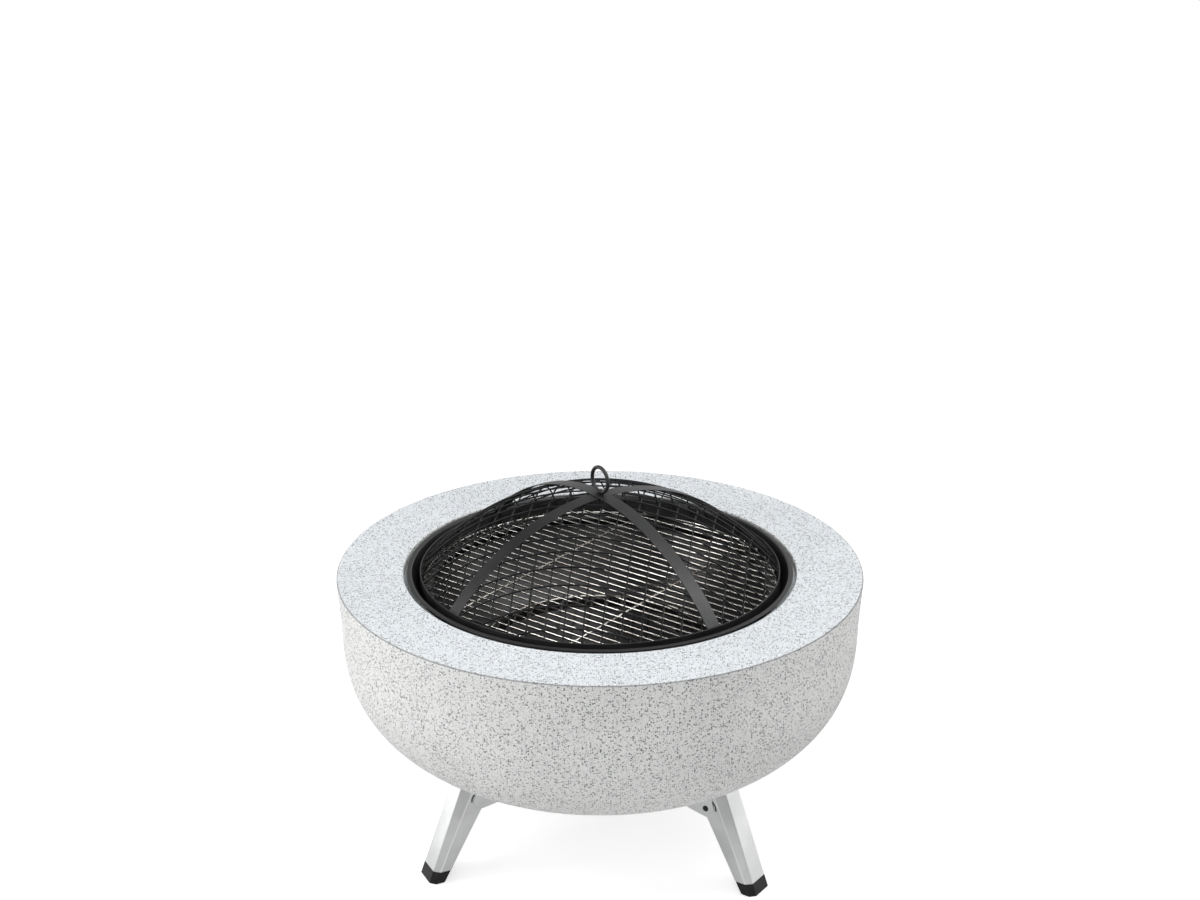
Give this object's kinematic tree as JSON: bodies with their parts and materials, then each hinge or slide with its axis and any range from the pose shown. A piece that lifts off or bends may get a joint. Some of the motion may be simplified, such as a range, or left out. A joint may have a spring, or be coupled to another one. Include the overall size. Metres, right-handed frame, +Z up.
{
  "type": "fire pit",
  "caption": "Round speckled stone-look patio fire pit on folding metal legs, with a lift-out steel fire bowl, charcoal grate, cooking grill and domed spark screen.",
  "frame": {"origin": "on the floor, under the middle of the round bowl", "axes": "+Z up along the bowl's axis, -Y the side that the picture shows as the front"},
  "size_m": [0.7, 0.6998, 0.554],
  "materials": {
    "stone": "matt cast stone, light grey with fine dark speckles",
    "bowl_black": "satin black heat-proof paint with a fine grain",
    "screen_black": "black powder coat",
    "bright_wire": "bright plated wire",
    "leg_alloy": "satin anodised",
    "bracket_alloy": "satin sheet",
    "foot_black": "black, slightly sheened",
    "pin_black": "blackened",
    "screw_steel": "zinc plated"
  },
  "bodies": {
    "base": {"stone_bowl": "stone", "bracket_left": "bracket_alloy", "bracket_right": "bracket_alloy", "bracket_back": "bracket_alloy", "hinge_pins": "pin_black", "bracket_screws": "screw_steel"},
    "left_leg": {"leg_left": "leg_alloy", "foot_left": "foot_black"},
    "right_leg": {"leg_right": "leg_alloy", "foot_right": "foot_black"},
    "back_leg": {"leg_back": "leg_alloy", "foot_back": "foot_black"},
    "bowl": {"fire_bowl": "bowl_black"},
    "grate": {"grate_ring": "bright_wire", "grate_wires": "bright_wire", "grate_crossbar": "bright_wire"},
    "grill": {"grill_ring": "bright_wire", "grill_wires": "bright_wire", "grill_crossbars": "bright_wire"},
    "screen": {"screen_band": "screen_black", "screen_strap_upper": "screen_black", "screen_strap_lower": "screen_black", "screen_wires_across": "screen_black", "screen_wires_along": "screen_black", "eye_bolt": "screen_black", "eye_nut": "screen_black"}
  },
  "joints": [
    {"name": "fire_bowl_lift", "type": "slide", "parent": "base", "child": "bowl", "axis": [0, 0, 1], "range_m": [0, 0.2243]},
    {"name": "charcoal_grate_lift", "type": "slide", "parent": "bowl", "child": "grate", "axis": [0, 0, 1], "range_m": [0, 0.2041]},
    {"name": "cooking_grill_lift", "type": "slide", "parent": "grate", "child": "grill", "axis": [0, 0, 1], "range_m": [0, 0.0364]},
    {"name": "spark_screen_lift", "type": "slide", "parent": "grill", "child": "screen", "axis": [0, 0, 1], "range_m": [0, 0.1384]},
    {"name": "left_leg_fold", "type": "hinge", "parent": "base", "child": "left_leg", "pos_m": [-0.16791, -0.08117, 0.1137], "axis": [-0.4352, 0.9003, 0], "range_deg": [-118, 0]},
    {"name": "right_leg_fold", "type": "hinge", "parent": "base", "child": "right_leg", "pos_m": [0.15425, -0.10483, 0.1137], "axis": [-0.5621, -0.8271, 0], "range_deg": [-118, 0]},
    {"name": "back_leg_fold", "type": "hinge", "parent": "base", "child": "back_leg", "pos_m": [0.01366, 0.186, 0.1137], "axis": [0.9973, -0.0732, 0], "range_deg": [-118, 0]}
  ]
}
